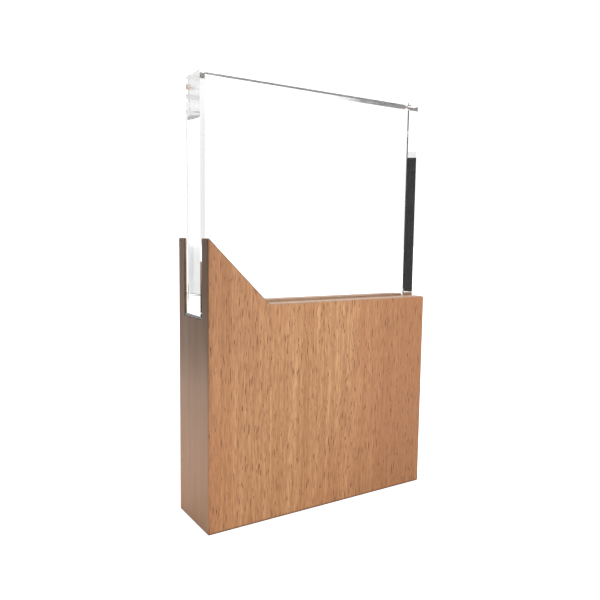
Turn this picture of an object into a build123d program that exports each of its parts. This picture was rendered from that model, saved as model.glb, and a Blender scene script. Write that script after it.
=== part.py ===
from build123d import *
import os

# Presentation plaque: a clear bevelled slab standing in the through slot of a solid beech base,
# on a thin strip of foam that cushions it.
# Millimetres. +Z is up, +X runs along the base and +Y points from its front face to its back.
# The origin is the centre of the footprint, on the surface that the base stands on.

# wooden base
base_width = 100.0
base_depth = 26.6
base_height = 81.5  # along the low run of its top
horn_height = 105.5  # at the left end, where the slanted cut would meet the end face
horn_run = 24.5  # horizontal length of the slanted cut
horn_tip_radius = 0.4
base_edge_radius = 0.6

# slot for the slab, open at both ends of the base
slot_floor_height = 76.6
side_clearance = 0.2  # on each face of the slab
slot_edge_radius = 0.4

# foam strip stuck to the slot's floor
strip_length = 99.6
strip_width = 15.0
strip_thickness = 0.7

# clear slab
slab_width = 99.5
slab_thickness = 15.0
slab_height = 85.0
slab_upright_bevel = 1.3  # on the four upright edges
slab_top_bevel = 1.0
slab_foot_arris = 0.2  # the bottom edges, which stay in the slot, are only taken off
seat_gap = 0.05  # air film between the slab's polished underside and the foam

slot_width = slab_thickness + 2 * side_clearance
half_width = base_width / 2
half_depth = base_depth / 2
horn_foot_x = horn_run - half_width
slab_foot_height = slot_floor_height + strip_thickness + seat_gap
slab_middle_height = slab_foot_height + slab_height / 2

os.makedirs("parts", exist_ok=True)

# Wooden base: one block, its outline drawn in front view and carried through the whole depth.
with BuildPart() as wooden_base:
    with BuildSketch(Plane.XZ):
        with BuildLine():
            Polyline(
                (-half_width, 0),
                (half_width, 0),
                (half_width, base_height),
                (horn_foot_x, base_height),
                (-half_width, horn_height),
                close=True,
            )
        make_face()
    extrude(amount=half_depth, both=True)

    # The sharp tip is sanded round first, and then every other outer edge is eased.
    # The inside corner at the foot of the horn stays crisp.
    horn_tip = wooden_base.edges().group_by(Axis.Z)[-1]
    fillet(horn_tip, radius=horn_tip_radius)
    edges_across = wooden_base.edges().filter_by(Axis.Y)
    tip_seams = edges_across.filter_by_position(Axis.Z, base_height + 1, horn_height)
    inside_corner = edges_across.filter_by_position(Axis.X, -half_width + 1, half_width - 1)
    fillet(wooden_base.edges() - tip_seams - inside_corner, radius=base_edge_radius)

    # The slot leaves one wall in front of the slab and an equal one behind it.
    block_edges = wooden_base.edges()
    with BuildSketch(Plane.XY.offset(slot_floor_height)):
        Rectangle(base_width, slot_width)
    extrude(amount=horn_height - slot_floor_height, mode=Mode.SUBTRACT)

    # The slot's mouth is eased all round, along both walls and down both open ends.
    slot_edges = wooden_base.edges() - block_edges
    slot_corners = slot_edges.filter_by(Axis.X).group_by(Axis.Z)[0]
    fillet(slot_edges - slot_corners, radius=slot_edge_radius)
wooden_base.part.label = "wooden_base"
export_step(wooden_base.part, "parts/wooden_base.step")

# Foam strip: it lies along the slot's floor, and ends just short of the slot's open ends.
with BuildPart() as foam_strip:
    with BuildSketch(Plane.XY.offset(slot_floor_height)):
        Rectangle(strip_length, strip_width)
    extrude(amount=strip_thickness)
foam_strip.part.label = "foam_strip"
export_step(foam_strip.part, "parts/foam_strip.step")

# Clear slab: its outlines in plan, front view and side view, each with its corners cut at 45 degrees,
# are carried through one another, so that the polished bevels meet in clean mitres.
with BuildPart() as clear_slab:
    with BuildSketch(Plane.XY.offset(slab_foot_height)) as plan:
        Rectangle(slab_width, slab_thickness)
        chamfer(plan.vertices(), length=slab_upright_bevel)
    extrude(amount=slab_height)
    with BuildSketch(Plane.XZ) as front_view:
        with Locations((0, slab_middle_height)):
            Rectangle(slab_width, slab_height)
        chamfer(front_view.vertices().group_by(Axis.Y)[-1], length=slab_top_bevel)
        chamfer(front_view.vertices().group_by(Axis.Y)[0], length=slab_foot_arris)
    extrude(amount=slab_thickness, both=True, mode=Mode.INTERSECT)
    with BuildSketch(Plane.YZ) as side_view:
        with Locations((0, slab_middle_height)):
            Rectangle(slab_thickness, slab_height)
        chamfer(side_view.vertices().group_by(Axis.Y)[-1], length=slab_top_bevel)
        chamfer(side_view.vertices().group_by(Axis.Y)[0], length=slab_foot_arris)
    extrude(amount=slab_width, both=True, mode=Mode.INTERSECT)
clear_slab.part.label = "clear_slab"
export_step(clear_slab.part, "parts/clear_slab.step")
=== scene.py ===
import math

import bpy
from mathutils import Matrix, Vector


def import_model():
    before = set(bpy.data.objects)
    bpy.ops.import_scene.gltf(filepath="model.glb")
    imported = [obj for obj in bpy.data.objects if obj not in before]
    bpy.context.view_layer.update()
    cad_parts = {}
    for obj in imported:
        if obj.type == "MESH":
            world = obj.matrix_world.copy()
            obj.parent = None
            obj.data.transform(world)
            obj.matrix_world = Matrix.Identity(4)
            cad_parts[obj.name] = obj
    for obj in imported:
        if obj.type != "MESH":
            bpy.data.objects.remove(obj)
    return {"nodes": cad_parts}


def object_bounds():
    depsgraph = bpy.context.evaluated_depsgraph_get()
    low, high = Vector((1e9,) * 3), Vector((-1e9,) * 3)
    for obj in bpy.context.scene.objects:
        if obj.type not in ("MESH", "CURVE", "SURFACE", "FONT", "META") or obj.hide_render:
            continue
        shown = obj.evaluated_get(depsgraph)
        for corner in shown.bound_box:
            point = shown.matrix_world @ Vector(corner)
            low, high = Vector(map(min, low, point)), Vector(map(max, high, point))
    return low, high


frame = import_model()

CAD_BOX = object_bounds()
MM = 0.001

# Places are in metres in the CAD's frame. +X runs along the base, away from its horn, +Y from its
# front face to its back, and +Z up. The origin is the middle of the underside.

# The viewpoint: where the lens stands, how it is turned, and how much it takes in.
CAMERA_PLACE = (-136.2 * MM, -206.0 * MM, 105.6 * MM)
CAMERA_YAW = math.radians(32.62)
CAMERA_TILT = math.radians(-5.77)
CAMERA_ROLL = math.radians(0.79)
CAMERA_LENS = 37.02
CAMERA_SENSOR = 36.0
CAMERA_CLIP_START = 10 * MM

# The world: directions from the object, and how strong its light is there.
FRONT = (0.0, -1.0, 0.0)
LEFT = (-1.0, 0.0, 0.0)
WINDOW = (0.35, -0.935, 0.05)
REAR_RIGHT = (0.891, 0.454, 0.0)
WORLD_BACK = 1.15
WORLD_FRONT = 1.0
WORLD_WINDOW = 1.4  # times the light round the window
WORLD_LEFT = 0.4  # times the light elsewhere
WORLD_CORNER = 0.25  # how much dimmer the rear right is, where it is seen through the glass

# The floor: its whiteness, and where that changes.
FLOOR_REACH = 6.0
FLOOR_WHITE = 0.9
FLOOR_FRONT = 0.32
FLOOR_FRONT_FADE = (-0.55, -0.25)  # along Y
FLOOR_FAR = 0.5
FLOOR_FAR_FADE = (-6.0, -2.0)  # along Y
FLOOR_UNDER_KEY = 0.8  # times the rest, in a strip below the key light
FLOOR_UNDER_KEY_FADE = (0.05, 0.45)  # away from the strip's middle
FLOOR_NEAR = 0.5  # times the rest, in the object's own shade
FLOOR_NEAR_MIDDLE = (20 * MM, -60 * MM, 0.0)
FLOOR_NEAR_FADE = (0.04, 0.14)  # away from its middle

# The floor's own glow, which keeps it bright in the slab's reflections and plain white to the lens.
FLOOR_GLOW = 0.35
FLOOR_GLOW_BACK_FADE = (-0.02, 0.2)  # along Y
FLOOR_GLOW_RIGHT_FADE = (0.06, 0.35)  # along X
FLOOR_SEEN = 0.6  # where the lens looks at it, straight or through the glass

# The key light, a soft box in front of the object.
KEY_PLACE = (0.05, -1.0, 0.6)
KEY_TARGET = (0.0, 0.0, 0.05)
KEY_SIZE = 0.8
KEY_WATTS = 4.0
KEY_STRIP = -0.95  # where the floor below it is greyer, along Y

# The part's own sizes that its materials follow.
SLOT_HALF_WIDTH = 7.7 * MM
SLOT_FLOOR = 76.6 * MM
LIT_MIDDLE = -12 * MM  # where the painted light on the beech is brightest, along X


# ---------------------------------------------------------------- node helpers


class Tree:
    """A node tree, with short calls for the nodes that the materials and the studio share."""

    def __init__(self, owner):
        owner.use_nodes = True
        self.tree = owner.node_tree
        self.tree.nodes.clear()

    def node(self, kind, **settings):
        made = self.tree.nodes.new(kind)
        for name, value in settings.items():
            setattr(made, name, value)
        return made

    def join(self, source, target):
        self.tree.links.new(source, target)

    def put(self, socket, value):
        """Feeds a socket from another node's output, or sets it to a constant."""
        if isinstance(value, bpy.types.NodeSocket):
            self.join(value, socket)
        else:
            socket.default_value = value

    def math(self, operation, a, b=0.0):
        made = self.node("ShaderNodeMath", operation=operation)
        self.put(made.inputs[0], a)
        self.put(made.inputs[1], b)
        return made.outputs[0]

    def times(self, a, b):
        return self.math("MULTIPLY", a, b)

    def absolute(self, a):
        return self.math("ABSOLUTE", a)

    def vector_math(self, operation, a, b=(0.0, 0.0, 0.0)):
        made = self.node("ShaderNodeVectorMath", operation=operation)
        self.put(made.inputs[0], a)
        self.put(made.inputs[1], b)
        return made.outputs["Value" if operation in ("DOT_PRODUCT", "LENGTH") else "Vector"]

    def combine(self, x, y, z):
        made = self.node("ShaderNodeCombineXYZ")
        for socket, value in zip(made.inputs, (x, y, z)):
            self.put(socket, value)
        return made.outputs[0]

    def separate(self, vector):
        made = self.node("ShaderNodeSeparateXYZ")
        self.put(made.inputs[0], vector)
        return made.outputs

    def place(self):
        """Where a point of the surface is, in its own object's axes."""
        return self.node("ShaderNodeTexCoord").outputs["Object"]

    def facing(self, normal="Normal"):
        """How far the surface faces along X, Y and Z, each from -1 to 1."""
        return self.separate(self.node("ShaderNodeNewGeometry").outputs[normal])

    def noise(self, place, size, detail=2.0):
        """Soft noise from 0 to 1, with features of the given size along each axis."""
        made = self.node("ShaderNodeTexNoise", noise_dimensions="3D")
        self.put(made.inputs["Vector"], self.vector_math("DIVIDE", place, size))
        self.put(made.inputs["Scale"], 1.0)
        self.put(made.inputs["Detail"], detail)
        return made.outputs["Fac"]

    def cells(self, place, size):
        """Distance to the nearest of a scatter of points, and that point's own random colour.

        The points stand about one size apart along each axis, and the distance counts in sizes.
        """
        made = self.node("ShaderNodeTexVoronoi", voronoi_dimensions="3D", feature="F1")
        self.put(made.inputs["Vector"], self.vector_math("DIVIDE", place, size))
        self.put(made.inputs["Scale"], 1.0)
        return made.outputs["Distance"], made.outputs["Color"]

    def ramp(self, value, low, high, to_low=0.0, to_high=1.0, smooth=True):
        """Goes from to_low to to_high as the value goes from low to high, and stays there."""
        made = self.node("ShaderNodeMapRange")
        made.interpolation_type = "SMOOTHSTEP" if smooth else "LINEAR"
        for name, number in (
            ("Value", value),
            ("From Min", low),
            ("From Max", high),
            ("To Min", to_low),
            ("To Max", to_high),
        ):
            self.put(made.inputs[name], number)
        return made.outputs["Result"]

    def blend(self, share, first, second):
        """The first colour, with a share of the second one in it."""
        made = self.node("ShaderNodeMix", data_type="RGBA", blend_type="MIX")
        self.put(made.inputs["Factor"], share)
        self.put(made.inputs[6], first)
        self.put(made.inputs[7], second)
        return made.outputs[2]

    def bump(self, height, strength, distance):
        made = self.node("ShaderNodeBump")
        self.put(made.inputs["Height"], height)
        self.put(made.inputs["Strength"], strength)
        self.put(made.inputs["Distance"], distance)
        return made.outputs[0]

    def backdrop_rays(self):
        """1 for rays from the lens, straight or through the glass, and 0 for all others.

        The others draw reflections and carry light. No material of the object uses this.
        """
        path = self.node("ShaderNodeLightPath").outputs
        reflected = self.math("GREATER_THAN", path["Glossy Depth"], 0.5)
        lighting = self.math("MAXIMUM", path["Is Diffuse Ray"], path["Is Shadow Ray"])
        return self.math("SUBTRACT", 1.0, self.math("MAXIMUM", reflected, lighting))


def new_material(name):
    """A material of one plain shader, with its node tree and the shader's inputs."""
    material = bpy.data.materials.new(name)
    tree = Tree(material)
    shader = tree.node("ShaderNodeBsdfPrincipled")
    output = tree.node("ShaderNodeOutputMaterial")
    tree.join(shader.outputs[0], output.inputs["Surface"])
    return material, tree, shader.inputs


def rgb(red, green, blue):
    """A colour given in display values from 0 to 255, as the linear one that shaders take."""
    def linear(value):
        share = value / 255
        return share / 12.92 if share <= 0.04045 else ((share + 0.055) / 1.055) ** 2.4
    return (linear(red), linear(green), linear(blue), 1.0)


# ---------------------------------------------------------------- materials

# Beech: how large the features of its grain are along each axis, and how far they wander and lean.
WANDER_SIZE = (24 * MM, 30 * MM, 38 * MM)
WANDER = 2.4 * MM
LEAN = -0.015
BAND_SIZE = (8 * MM, 16 * MM, 260 * MM)
PATCH_SIZE = (22 * MM, 40 * MM, 90 * MM)
STREAK_SIZE = (1.1 * MM, 2.4 * MM, 40 * MM)
FIBRE_SIZE = (0.35 * MM, 0.6 * MM, 5 * MM)
BOLD_FLECK_SIZE = (0.84 * MM, 24 * MM, 8.0 * MM)
FINE_FLECK_SIZE = (0.6 * MM, 14 * MM, 4.2 * MM)

# Beech: its colours.
DARK_BAND = rgb(207, 153, 105)
PALE_BAND = rgb(230, 178, 128)
WARM_PATCH = rgb(204, 134, 94)
# Painted shade for the sides of the block, darker than its middle.
SIDE_SHADE = rgb(175, 116, 77)
END_FACE = rgb(160, 134, 112)
STREAK = rgb(176, 122, 82)
FIBRE = rgb(158, 105, 68)
FLECK = rgb(104, 52, 26)
END_GRAIN = rgb(182, 156, 134)
# Painted shade inside the slot.
SLOT_SHADE = rgb(152, 130, 111)
# Painted shade on the edges that face the right and along the foot, with a little wear.
EDGE_WEAR_AND_SHADE = rgb(92, 70, 54)

# Foam: the size of its cells and of its paler patches, and its colours.
CELL_SIZE = (0.35 * MM, 0.35 * MM, 0.35 * MM)
FOAM_PATCH_SIZE = (6 * MM, 6 * MM, 6 * MM)
FOAM_DARK = rgb(143, 144, 145)
FOAM_PALE = rgb(162, 162, 162)
FOAM_PIT = rgb(108, 108, 109)
# Painted light for the foam's cut sides and ends.
FOAM_CUT_LIT = rgb(248, 248, 248)

# Acrylic: its own faint tint, how strongly it bends light, and its traces of polishing.
ACRYLIC_TINT = (0.985, 0.992, 0.99, 1.0)
ACRYLIC_IOR = 1.49
WHEEL_MARK_SIZE = (3 * MM, 3 * MM, 0.4 * MM)
WAVE_SIZE = (9 * MM, 9 * MM, 13 * MM)
WAVE_HEIGHT = 0.004 * MM


def flecks(tree, grain, size, faintest, boldest):
    """Short lens-shaped marks scattered along the grain, each with its own size and darkness."""
    distance, own = tree.cells(grain, size)
    chance = tree.separate(own)
    reach = tree.ramp(chance[0], 0.0, 1.0, 0.14, 0.32, smooth=False)
    mark = tree.ramp(tree.math("DIVIDE", distance, reach), 0.5, 1.0, 1.0, 0.0)
    darkness = tree.ramp(chance[1], 0.1, 0.95, faintest, boldest)
    return tree.times(mark, darkness)


def beech():
    """Sanded, lightly oiled beech with its grain upright, as a solid pattern through the block."""
    material, tree, inputs = new_material("beech")
    place = tree.place()
    across, through, height = tree.separate(place)
    facing = tree.facing()

    # The fibres lean a little, and wander from side to side as they rise.
    wander = tree.noise(place, WANDER_SIZE, detail=1.0)
    wander = tree.times(tree.math("SUBTRACT", wander, 0.5), WANDER)
    shift = tree.math("ADD", wander, tree.times(height, LEAN))
    grain = tree.vector_math("ADD", place, tree.combine(shift, 0.0, 0.0))

    # The ends of the block are greyer, with faint streaks and no flecks.
    on_end = tree.absolute(facing[0])
    figure = tree.ramp(on_end, 0.5, 0.9, 1.0, 0.12)
    unflecked = tree.ramp(on_end, 0.3, 0.8, 1.0, 0.0)

    # Broad bands of tone come from the growth rings. The middle of the block is painted palest and
    # its sides darker: painted light that falls off to both sides.
    bands = tree.noise(grain, BAND_SIZE)
    tone = tree.blend(tree.ramp(bands, 0.3, 0.7), DARK_BAND, PALE_BAND)
    patches = tree.noise(grain, PATCH_SIZE, detail=1.0)
    tone = tree.blend(tree.ramp(patches, 0.4, 0.65, 0.0, 0.3), tone, WARM_PATCH)
    outward = tree.absolute(tree.math("SUBTRACT", across, LIT_MIDDLE))
    tone = tree.blend(tree.ramp(outward, 4 * MM, 60 * MM, 0.0, 0.7), tone, SIDE_SHADE)
    tone = tree.blend(tree.ramp(on_end, 0.5, 0.9, 0.0, 0.5), tone, END_FACE)

    # Narrow streaks and fibres run up through the bands.
    streaks = tree.noise(grain, STREAK_SIZE)
    streaked = tree.times(tree.ramp(streaks, 0.3, 0.7, 0.0, 0.55), figure)
    tone = tree.blend(streaked, tone, STREAK)
    fibres = tree.noise(grain, FIBRE_SIZE)
    fibrous = tree.times(tree.ramp(fibres, 0.35, 0.7, 0.0, 0.6), figure)
    tone = tree.blend(fibrous, tone, FIBRE)

    # On the front and back the wood's rays show as short dark flecks.
    bold = flecks(tree, grain, BOLD_FLECK_SIZE, 0.45, 1.0)
    fine = flecks(tree, grain, FINE_FLECK_SIZE, 0.3, 0.95)
    fleck = tree.times(tree.math("MAXIMUM", bold, fine), unflecked)
    tone = tree.blend(fleck, tone, FLECK)

    # On top and underneath, the sanded end grain is greyer and plainer.
    end_grain = tree.ramp(tree.absolute(facing[2]), 0.35, 0.8)
    tone = tree.blend(tree.times(end_grain, 0.6), tone, END_GRAIN)

    # Inside the slot the wood is painted darker and greyer, as painted shade in the narrow gap
    # round the slab, and it is rougher too.
    beyond_wall = tree.math("SUBTRACT", tree.absolute(through), SLOT_HALF_WIDTH)
    within = tree.ramp(beyond_wall, 0.02 * MM, 0.25 * MM, 1.0, 0.0)
    within = tree.times(within, tree.ramp(height, SLOT_FLOOR - 0.3 * MM, SLOT_FLOOR))
    tone = tree.blend(tree.times(within, 0.65), tone, SLOT_SHADE)

    # The eased edges round the front and back get a little wear all round, and a painted shade
    # where they face the right, most of all along the slanted cut and down the side beyond it. The
    # foot gets a painted contact shadow where it meets the table.
    rim = tree.absolute(facing[1])
    rim = tree.times(tree.ramp(rim, 0.05, 0.35), tree.ramp(rim, 0.94, 0.995, 1.0, 0.0))
    edge_wear_and_shade = tree.times(rim, tree.ramp(facing[0], 0.05, 0.3, 0.12, 0.65))
    foot_shadow = tree.ramp(height, 0.4 * MM, 1.1 * MM, 0.7, 0.0)
    foot_shadow = tree.times(foot_shadow, tree.ramp(facing[2], -0.98, -0.85))
    tone = tree.blend(tree.math("MAXIMUM", edge_wear_and_shade, foot_shadow), tone, EDGE_WEAR_AND_SHADE)
    tree.put(inputs["Base Color"], tone)

    # Streaks vary the sheen, flecks and the slot are duller, and flecks are a little sunken.
    sheen = tree.ramp(streaks, 0.3, 0.7, 0.40, 0.52, smooth=False)
    duller = tree.math("ADD", tree.times(fleck, 0.12), tree.times(within, 0.35))
    tree.put(inputs["Roughness"], tree.math("ADD", sheen, duller))
    inputs["IOR"].default_value = 1.45
    relief = tree.math("SUBTRACT", tree.times(fibres, 0.4), fleck)
    tree.put(inputs["Normal"], tree.bump(relief, 0.35, 0.03 * MM))
    return material


def foam():
    """Closed-cell foam: matt grey, with the fine pits of its cells, and its cut faces painted near
    white as painted light.
    """
    material, tree, inputs = new_material("grey_foam")
    place = tree.place()
    distance, _ = tree.cells(place, CELL_SIZE)
    patches = tree.noise(place, FOAM_PATCH_SIZE)
    tone = tree.blend(tree.ramp(patches, 0.3, 0.7), FOAM_DARK, FOAM_PALE)
    tone = tree.blend(tree.ramp(distance, 0.35, 0.75, 0.0, 0.5), tone, FOAM_PIT)

    # Its sides and ends are cut, and its top and underside are not. The cut faces are painted near
    # white, as painted light on the end that lies in shade in the slot.
    upright = tree.absolute(tree.facing()[2])
    tone = tree.blend(tree.ramp(upright, 0.4, 0.8, 0.95, 0.0), tone, FOAM_CUT_LIT)
    tree.put(inputs["Base Color"], tone)
    tree.put(inputs["Roughness"], tree.ramp(patches, 0.3, 0.7, 0.8, 0.95))
    relief = tree.math("SUBTRACT", 1.0, distance)
    tree.put(inputs["Normal"], tree.bump(relief, 0.4, 0.05 * MM))
    return material


def clear_acrylic():
    """Water-clear acrylic: the faintest waves on its faces, and a trace of haze on its bevels."""
    material, tree, inputs = new_material("clear_acrylic")
    place = tree.place()
    inputs["Base Color"].default_value = ACRYLIC_TINT
    inputs["Transmission Weight"].default_value = 1.0
    inputs["IOR"].default_value = ACRYLIC_IOR

    # A bevel is what doesn't face squarely along any axis.
    along_x, along_y, along_z = (tree.absolute(share) for share in tree.facing("True Normal"))
    squareness = tree.math("MAXIMUM", tree.math("MAXIMUM", along_x, along_y), along_z)
    on_bevel = tree.ramp(squareness, 0.75, 0.95, 1.0, 0.0)
    haze = tree.ramp(tree.noise(place, WHEEL_MARK_SIZE), 0.3, 0.7, 0.03, 0.14)
    tree.put(inputs["Roughness"], tree.times(haze, on_bevel))

    waves = tree.noise(place, WAVE_SIZE, detail=1.0)
    tree.put(inputs["Normal"], tree.bump(waves, 1.0, WAVE_HEIGHT))
    return material


# ---------------------------------------------------------------- studio


def card_material(name, shade, white_from):
    """A matt grey that shows in reflections and holds back stray light, but not from the lens."""
    material = bpy.data.materials.new(name)
    tree = Tree(material)
    colour = (shade, shade, shade, 1.0)
    if white_from is not None:
        height = tree.separate(tree.place())[2]
        is_white = tree.math("GREATER_THAN", height, white_from)
        colour = tree.blend(is_white, colour, (0.8, 0.8, 0.8, 1.0))
    grey = tree.node("ShaderNodeBsdfDiffuse")
    tree.put(grey.inputs["Color"], colour)
    clear = tree.node("ShaderNodeBsdfTransparent")
    both = tree.node("ShaderNodeMixShader")
    tree.put(both.inputs[0], tree.backdrop_rays())
    tree.join(grey.outputs[0], both.inputs[1])
    tree.join(clear.outputs[0], both.inputs[2])
    output = tree.node("ShaderNodeOutputMaterial")
    tree.join(both.outputs[0], output.inputs["Surface"])
    return material


def card(name, foot, width, height, facing, shade, white_from=None):
    """An upright grey card for the slab to mirror, which the lens doesn't see.

    Its lower edge has its middle at foot, and its face is turned by an angle in degrees from -Y
    towards +X. Above the height white_from, counted from its lower edge, it is left white.
    """
    mesh = bpy.data.meshes.new(name)
    half = width / 2
    corners = [(-half, 0, 0), (half, 0, 0), (half, 0, height), (-half, 0, height)]
    mesh.from_pydata(corners, [], [(0, 1, 2, 3)])
    mesh.materials.append(card_material(name, shade, white_from))
    made = bpy.data.objects.new(name, mesh)
    made.location = foot
    made.rotation_euler = (0, 0, math.radians(facing))
    made.visible_camera = False
    bpy.context.scene.collection.objects.link(made)


def floor():
    """A sweep under the object, plain white to the lens, both straight and through the glass.

    For reflections and for lighting it is white round the object, with a glow behind it and to its
    right. It is greyer in front of the object and close round it.
    """
    mesh = bpy.data.meshes.new("floor")
    reach = FLOOR_REACH
    corners = [(-reach, -reach, 0), (reach, -reach, 0), (reach, reach, 0), (-reach, reach, 0)]
    mesh.from_pydata(corners, [], [(0, 1, 2, 3)])
    made = bpy.data.objects.new("floor", mesh)
    made.location.z = CAD_BOX[0].z
    material, tree, inputs = new_material("floor")
    place = tree.place()
    across, depth, _ = tree.separate(place)
    seen = tree.backdrop_rays()

    white = tree.ramp(depth, *FLOOR_FRONT_FADE, FLOOR_FRONT, FLOOR_WHITE)
    far = tree.ramp(depth, *FLOOR_FAR_FADE, FLOOR_FAR, FLOOR_FRONT)
    white = tree.math("MAXIMUM", white, far)
    from_strip = tree.absolute(tree.math("SUBTRACT", depth, KEY_STRIP))
    under_key = tree.ramp(from_strip, *FLOOR_UNDER_KEY_FADE, FLOOR_UNDER_KEY, 1.0)
    white = tree.times(white, under_key)
    away = tree.vector_math("LENGTH", tree.vector_math("SUBTRACT", place, FLOOR_NEAR_MIDDLE))
    white = tree.times(white, tree.ramp(away, *FLOOR_NEAR_FADE, FLOOR_NEAR, 1.0))
    white = tree.math("MAXIMUM", white, seen)
    tree.put(inputs["Base Color"], tree.combine(white, white, white))

    back_glow = tree.ramp(depth, *FLOOR_GLOW_BACK_FADE, 0.0, FLOOR_GLOW)
    right_glow = tree.ramp(across, *FLOOR_GLOW_RIGHT_FADE, 0.0, FLOOR_GLOW)
    glow = tree.math("MAXIMUM", back_glow, right_glow)
    glow = tree.math("MAXIMUM", glow, tree.times(seen, FLOOR_SEEN))
    inputs["Emission Color"].default_value = (1.0, 1.0, 1.0, 1.0)
    tree.put(inputs["Emission Strength"], glow)

    inputs["Roughness"].default_value = 0.8
    inputs["Specular IOR Level"].default_value = 0.0
    mesh.materials.append(material)
    bpy.context.scene.collection.objects.link(made)


def world():
    """White all round, with a brighter window in front and less light on the left.

    Where the lens looks at it straight, it is plain white. Through the glass it is plain white too,
    except for a greyer patch on the rear right, which shows in the slab's front left bevel.
    """
    made = bpy.data.worlds.new("studio")
    bpy.context.scene.world = made
    tree = Tree(made)
    towards = tree.node("ShaderNodeTexCoord").outputs["Generated"]
    path = tree.node("ShaderNodeLightPath").outputs

    def near(direction, edge, core, to_edge, to_core):
        """Changes from to_edge to to_core as the cosine to the direction goes from edge to core."""
        cosine = tree.vector_math("DOT_PRODUCT", towards, direction)
        return tree.ramp(cosine, edge, core, to_edge, to_core)

    light = near(FRONT, 0.1, 0.8, WORLD_BACK, WORLD_FRONT)
    light = tree.times(light, near(WINDOW, 0.96, 0.985, 1.0, WORLD_WINDOW))
    light = tree.times(light, near(LEFT, 0.72, 0.92, 1.0, WORLD_LEFT))
    seen = tree.backdrop_rays()
    light = tree.math("MAXIMUM", light, seen)
    through = tree.times(seen, tree.math("GREATER_THAN", path["Transmission Depth"], 0.5))
    dimmed = tree.times(through, near(REAR_RIGHT, 0.94, 0.975, 0.0, WORLD_CORNER))
    light = tree.times(light, tree.math("SUBTRACT", 1.0, dimmed))

    background = tree.node("ShaderNodeBackground")
    background.inputs["Color"].default_value = (1.0, 1.0, 1.0, 1.0)
    tree.put(background.inputs["Strength"], light)
    output = tree.node("ShaderNodeOutputWorld")
    tree.join(background.outputs[0], output.inputs["Surface"])


def softbox():
    """The key light, turned to face the object."""
    data = bpy.data.lights.new("key", "AREA")
    data.size = KEY_SIZE
    data.energy = KEY_WATTS
    made = bpy.data.objects.new("key", data)
    made.location = KEY_PLACE
    sight = Vector(KEY_TARGET) - Vector(KEY_PLACE)
    made.rotation_euler = sight.to_track_quat("-Z", "Y").to_euler()
    bpy.context.scene.collection.objects.link(made)


def camera():
    """The lens, turned by its yaw about +Z, its tilt, and its roll about its own line of sight."""
    data = bpy.data.cameras.new("camera")
    data.lens = CAMERA_LENS
    data.sensor_width = CAMERA_SENSOR
    data.clip_start = CAMERA_CLIP_START
    made = bpy.data.objects.new("camera", data)
    turn = (
        Matrix.Rotation(-CAMERA_YAW, 4, "Z")
        @ Matrix.Rotation(math.pi / 2 + CAMERA_TILT, 4, "X")
        @ Matrix.Rotation(CAMERA_ROLL, 4, "Z")
    )
    made.matrix_world = Matrix.Translation(CAMERA_PLACE) @ turn
    bpy.context.scene.collection.objects.link(made)
    bpy.context.scene.camera = made


# ---------------------------------------------------------------- the scene

FINISHES = {
    "wooden_base": ("beech", beech()),
    "foam_strip": ("foam", foam()),
    "clear_slab": ("clear_slab", clear_acrylic()),
}
for node, (slot, material) in FINISHES.items():
    piece = frame["nodes"][node]
    piece.material_slots[0].material = material

floor()
world()
card(
    "flag_rear_left",
    foot=(-218 * MM, 243 * MM, 53 * MM),
    width=95 * MM,
    height=138.5 * MM,
    facing=43,
    shade=0.02,
    white_from=133 * MM,
)
card(
    "flag_left",
    foot=(-80 * MM, -25 * MM, 50 * MM),
    width=140 * MM,
    height=210 * MM,
    facing=-90,
    shade=0.02,
)
card(
    "flag_front_right",
    foot=(184 * MM, -156 * MM, 0),
    width=44 * MM,
    height=200 * MM,
    facing=223,
    shade=0.05,
)
card(
    "flag_lens_side",
    foot=(-330 * MM, -380 * MM, 0),
    width=260 * MM,
    height=420 * MM,
    facing=139,
    shade=0.55,
)
softbox()
camera()

scene = bpy.context.scene
scene.view_settings.view_transform = "Standard"
scene.cycles.max_bounces = 32
scene.cycles.glossy_bounces = 24
scene.cycles.transmission_bounces = 24
scene.cycles.blur_glossy = 0.0
